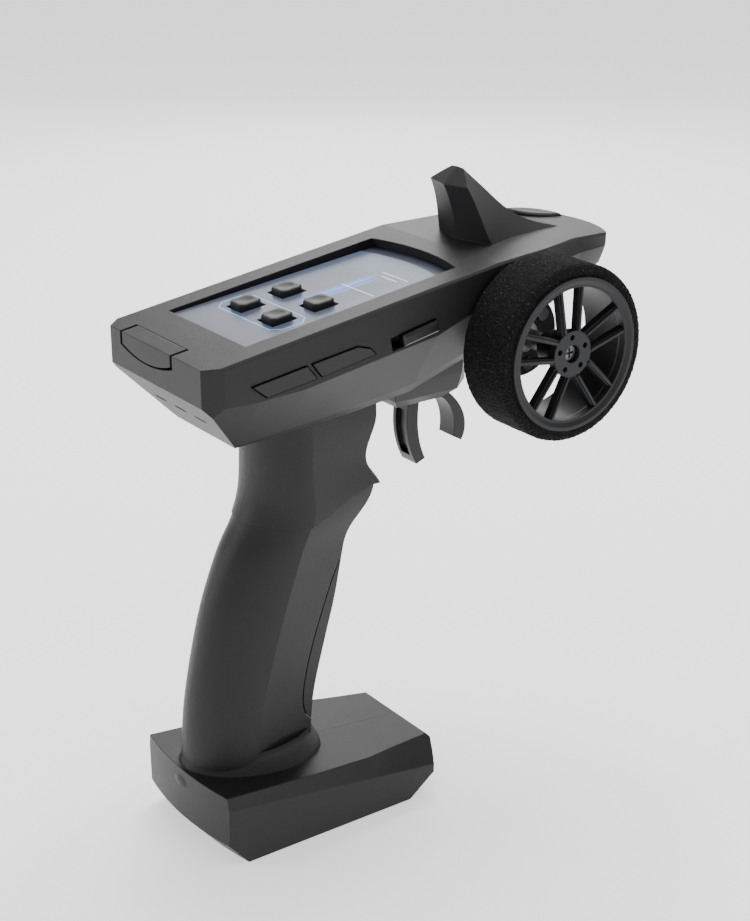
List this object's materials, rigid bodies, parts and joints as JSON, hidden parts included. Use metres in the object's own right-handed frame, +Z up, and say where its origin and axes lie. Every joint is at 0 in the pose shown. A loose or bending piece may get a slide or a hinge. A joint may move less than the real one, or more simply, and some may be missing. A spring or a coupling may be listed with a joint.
{
  "type": "radio transmitter controller",
  "caption": "Pistol-grip radio transmitter with a foam steering wheel, a hooked throttle trigger, a key panel and side controls.",
  "frame": {"origin": "centre of the base's flat underside, on the plane where the two shells meet", "axes": "+Z up, +Y towards the front of the head, +X towards the steering wheel's side"},
  "size_m": [0.0854, 0.167, 0.2101],
  "materials": {
    "case_plastic": "fine satin grain",
    "cover_plastic": "fine satin grain",
    "panel_tray": "matte dark blue",
    "panel_film": "printed satin film",
    "button_rubber": "matte",
    "trim_plastic": "satin",
    "trigger_plastic": "satin",
    "rim_plastic": "satin",
    "foam": "open-cell foam",
    "board": "solder mask",
    "chip": "moulded",
    "screw_steel": "blackened",
    "spring_steel": "bright wire",
    "bearing_steel": "ground ring",
    "axle_steel": "ground",
    "cell_jacket": "plain shrink jacket",
    "contact_metal": "nickel plated",
    "lead_jacket": "plain jacket"
  },
  "bodies": {
    "case": {"shell_left": "case_plastic", "shell_right": "case_plastic", "rear_tab": "cover_plastic", "front_cap": "cover_plastic", "grip_insert": "cover_plastic", "panel_plate": "panel_tray", "panel_sticker": "panel_film", "panel_switches": "chip", "main_board": "board", "board_screws": "screw_steel", "radio_module": "chip", "side_board": "board", "trim_switches": "chip", "switch_body": "contact_metal", "steering_mount": "case_plastic", "steering_bush": "bearing_steel", "mount_screws": "screw_steel", "steering_sensor": "chip", "steering_spring": "spring_steel", "trigger_sensor": "chip", "trigger_spring": "spring_steel", "battery_tray": "case_plastic", "battery_cells": "cell_jacket", "battery_contacts": "contact_metal", "battery_leads": "lead_jacket", "aerial": "board", "case_screws": "screw_steel"},
    "steering_wheel": {"wheel_tyre": "foam", "wheel_rim": "rim_plastic", "wheel_axle": "axle_steel", "wheel_screw": "screw_steel"},
    "trigger_lever": {"trigger": "trigger_plastic", "trigger_pin": "axle_steel"},
    "switch_slider": {"switch_knob": "trim_plastic"},
    "rear_trim": {"trim_button_rear": "trim_plastic"},
    "front_trim": {"trim_button_front": "trim_plastic"},
    "door": {"battery_door": "case_plastic"},
    "button_1": {"panel_button_1": "button_rubber"},
    "button_2": {"panel_button_2": "button_rubber"},
    "button_3": {"panel_button_3": "button_rubber"},
    "button_4": {"panel_button_4": "button_rubber"}
  },
  "joints": [
    {"name": "steering", "type": "hinge", "parent": "case", "child": "steering_wheel", "pos_m": [0.04, 0.07283, 0.1594], "axis": [1, 0, 0], "range_deg": [-35, 35], "stiffness_Nm_per_rad": 0.06},
    {"name": "throttle", "type": "hinge", "parent": "case", "child": "trigger_lever", "pos_m": [0, 0.054, 0.149], "axis": [-1, 0, 0], "range_deg": [-8, 16], "stiffness_Nm_per_rad": 0.12},
    {"name": "power_switch_slide", "type": "slide", "parent": "case", "child": "switch_slider", "axis": [0, 0.9806, 0.1961], "range_m": [-0.0035, 0]},
    {"name": "rear_trim_press", "type": "slide", "parent": "case", "child": "rear_trim", "axis": [-1, 0, 0], "range_m": [0, 0.0008], "stiffness_N_per_m": 400},
    {"name": "front_trim_press", "type": "slide", "parent": "case", "child": "front_trim", "axis": [-1, 0, 0], "range_m": [0, 0.0008], "stiffness_N_per_m": 400},
    {"name": "battery_door_slide", "type": "slide", "parent": "case", "child": "door", "axis": [0, 1, 0], "range_m": [0, 0.05]},
    {"name": "button_1_press", "type": "slide", "parent": "case", "child": "button_1", "axis": [0, 0.1258, -0.9921], "range_m": [0, 0.0008], "stiffness_N_per_m": 400},
    {"name": "button_2_press", "type": "slide", "parent": "case", "child": "button_2", "axis": [0, 0.1258, -0.9921], "range_m": [0, 0.0008], "stiffness_N_per_m": 400},
    {"name": "button_3_press", "type": "slide", "parent": "case", "child": "button_3", "axis": [0, 0.1258, -0.9921], "range_m": [0, 0.0008], "stiffness_N_per_m": 400},
    {"name": "button_4_press", "type": "slide", "parent": "case", "child": "button_4", "axis": [0, 0.1258, -0.9921], "range_m": [0, 0.0008], "stiffness_N_per_m": 400}
  ]
}
